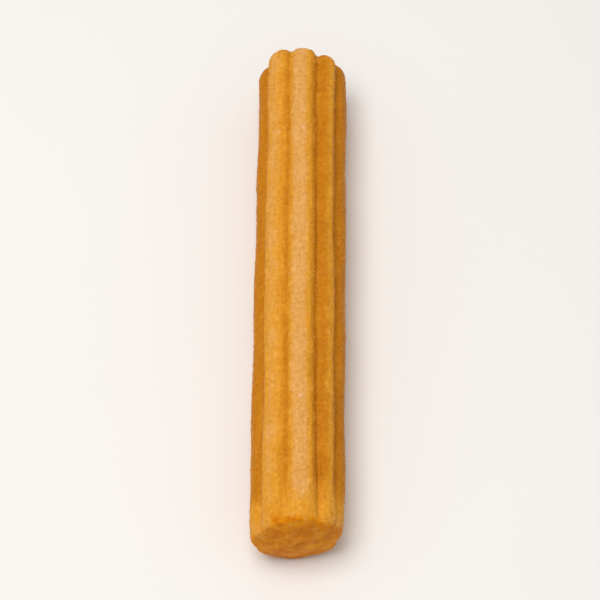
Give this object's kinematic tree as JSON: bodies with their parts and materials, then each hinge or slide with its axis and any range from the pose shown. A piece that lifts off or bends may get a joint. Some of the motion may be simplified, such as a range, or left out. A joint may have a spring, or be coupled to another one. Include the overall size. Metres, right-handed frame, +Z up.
{
  "type": "churro",
  "caption": "Straight stick of fried dough with rounded ridges along its length, a smooth domed near end and a ridged far end, lying on its underside.",
  "frame": {"origin": "on the ground, under the middle of the stick", "axes": "+Z up, +Y along the stick from its smooth near end to its ridged far end, +X to the right seen from the near end"},
  "size_m": [0.0252, 0.15, 0.0244],
  "materials": {
    "crust": "satin"
  },
  "bodies": {
    "root": {"churro": "crust"}
  },
  "joints": []
}
